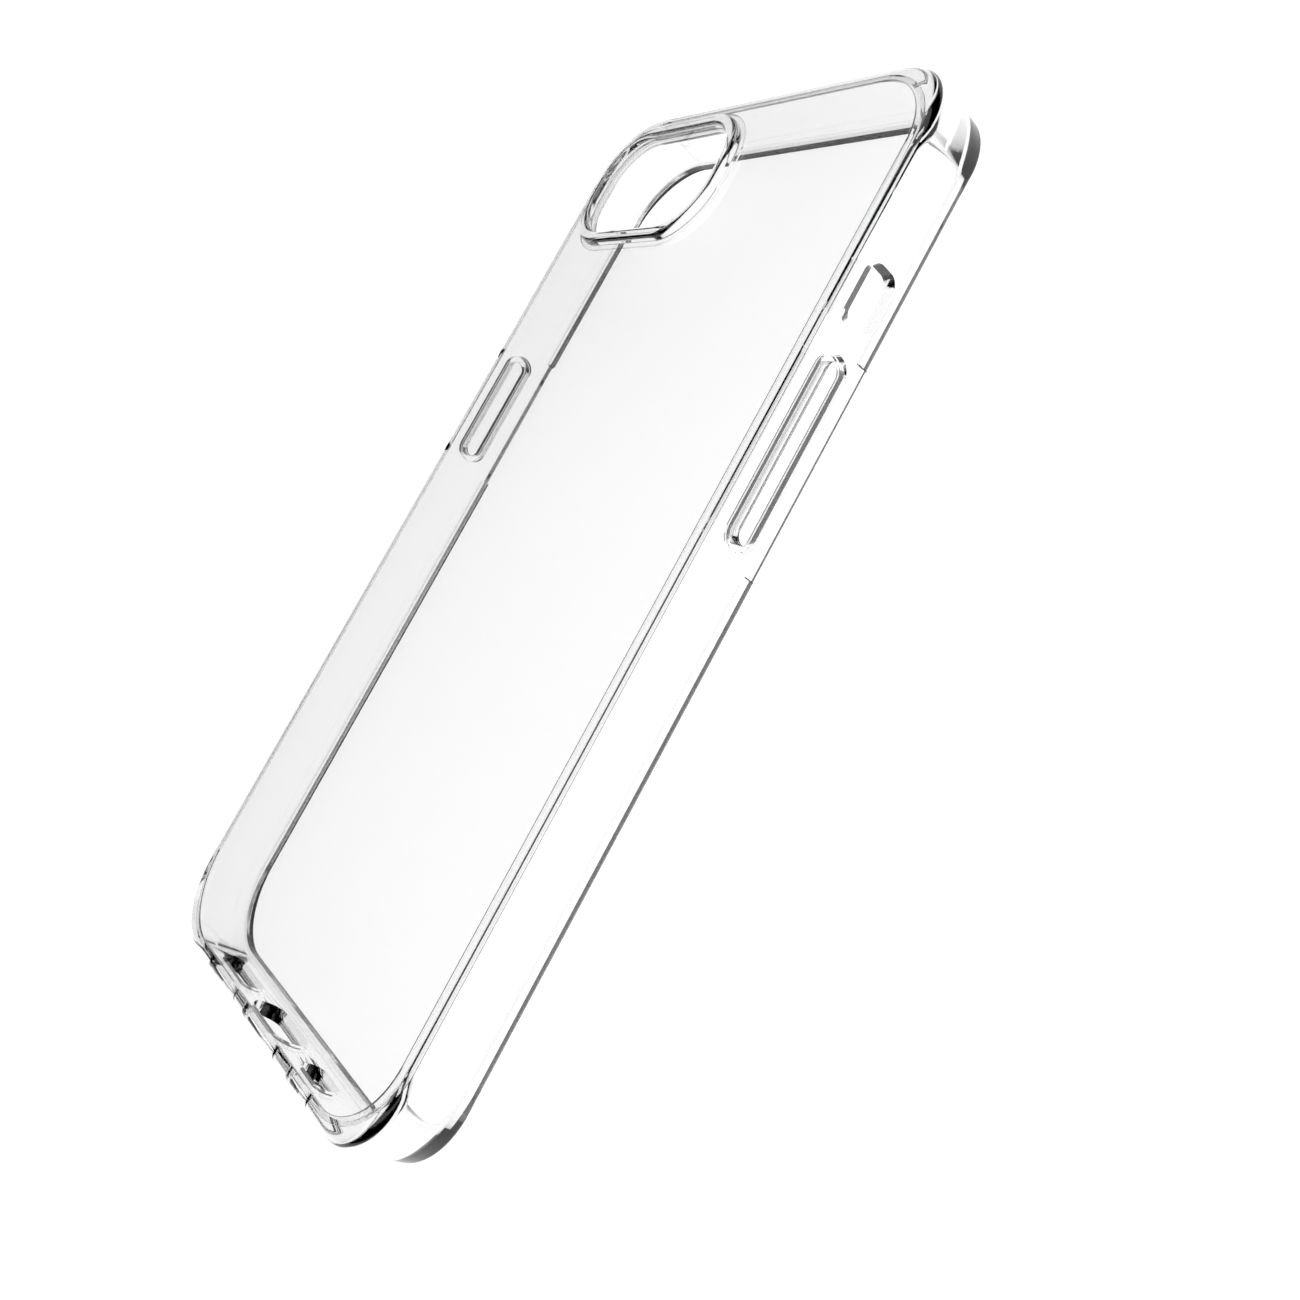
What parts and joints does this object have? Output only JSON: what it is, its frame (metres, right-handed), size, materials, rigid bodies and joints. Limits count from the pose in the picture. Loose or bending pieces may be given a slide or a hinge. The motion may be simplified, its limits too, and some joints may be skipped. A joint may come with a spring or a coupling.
{
  "type": "phone case",
  "caption": "Clear phone case with a hard back panel, soft bumper frame, raised camera surround, sprung side key covers and port openings.",
  "frame": {"origin": "centre of the rectangle that the front rim stands on, in the plane of the rim", "axes": "+X across the width towards the side with the volume key, +Y along the length towards the camera end, +Z from the front rim towards the outside of the back"},
  "size_m": [0.0768, 0.151, 0.0115],
  "materials": {
    "soft_clear": "clear glossy thermoplastic polyurethane",
    "hard_clear": "clear polished polycarbonate",
    "ring_clear": "clear glossy thermoplastic polyurethane",
    "web_clear": "thin clear thermoplastic polyurethane",
    "key_clear": "clear glossy thermoplastic polyurethane"
  },
  "bodies": {
    "case": {"bumper_frame": "soft_clear", "back_panel": "hard_clear", "camera_ring": "ring_clear"},
    "volume_carrier": {"volume_key_web": "web_clear"},
    "volume_rocker": {"volume_key": "key_clear"},
    "power_button": {"power_key": "key_clear", "power_key_web": "web_clear"}
  },
  "joints": [
    {"name": "volume_press", "type": "slide", "parent": "case", "child": "volume_carrier", "axis": [-1, 0, 0], "range_m": [0, 0.0004], "stiffness_N_per_m": 1500},
    {"name": "volume_rock", "type": "hinge", "parent": "volume_carrier", "child": "volume_rocker", "pos_m": [0.03655, 0.0212, 0.0051], "axis": [0, 0, 1], "range_deg": [-1.2, 1.2], "stiffness_Nm_per_rad": 0.1},
    {"name": "power_press", "type": "slide", "parent": "case", "child": "power_button", "axis": [1, 0, 0], "range_m": [0, 0.0004], "stiffness_N_per_m": 1500}
  ]
}
